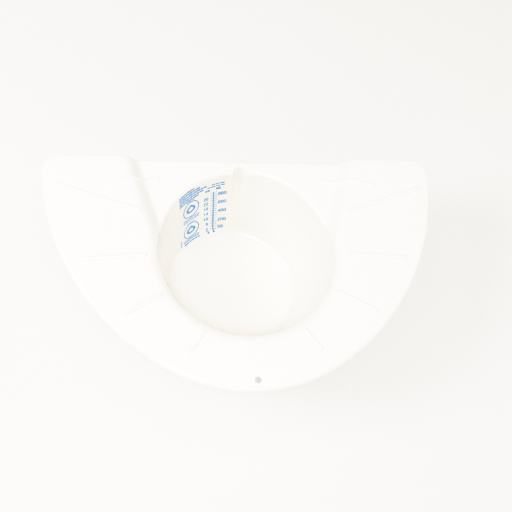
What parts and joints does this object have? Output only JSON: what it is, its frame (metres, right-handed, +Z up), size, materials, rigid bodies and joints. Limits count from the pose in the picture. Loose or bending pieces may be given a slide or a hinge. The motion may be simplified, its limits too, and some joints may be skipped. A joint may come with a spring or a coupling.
{
  "type": "commode specimen pan",
  "caption": "One-piece moulded bowl under a horseshoe flange with a recessed pouring ledge, printed inside with a volume scale, for catching urine on a toilet seat or commode.",
  "frame": {"origin": "centre of the flat base's underside, under the middle of the bowl", "axes": "+Z up in use, +Y towards the straight side with the pouring groove, X across the pan"},
  "size_m": [0.34, 0.2087, 0.1052],
  "materials": {
    "pan_plastic": "semi-gloss translucent white polypropylene",
    "print_ink": "thin satin blue printing ink"
  },
  "bodies": {
    "root": {"pan_moulding": "pan_plastic", "scale_rule": "print_ink", "millilitre_ticks": "print_ink", "ounce_ticks": "print_ink", "millilitre_numerals": "print_ink", "ounce_numerals": "print_ink", "unit_captions": "print_ink", "notice_bars": "print_ink", "side_notice_bars": "print_ink", "upper_pictogram": "print_ink", "lower_pictogram": "print_ink", "pictogram_captions": "print_ink", "register_mark": "print_ink"}
  },
  "joints": []
}
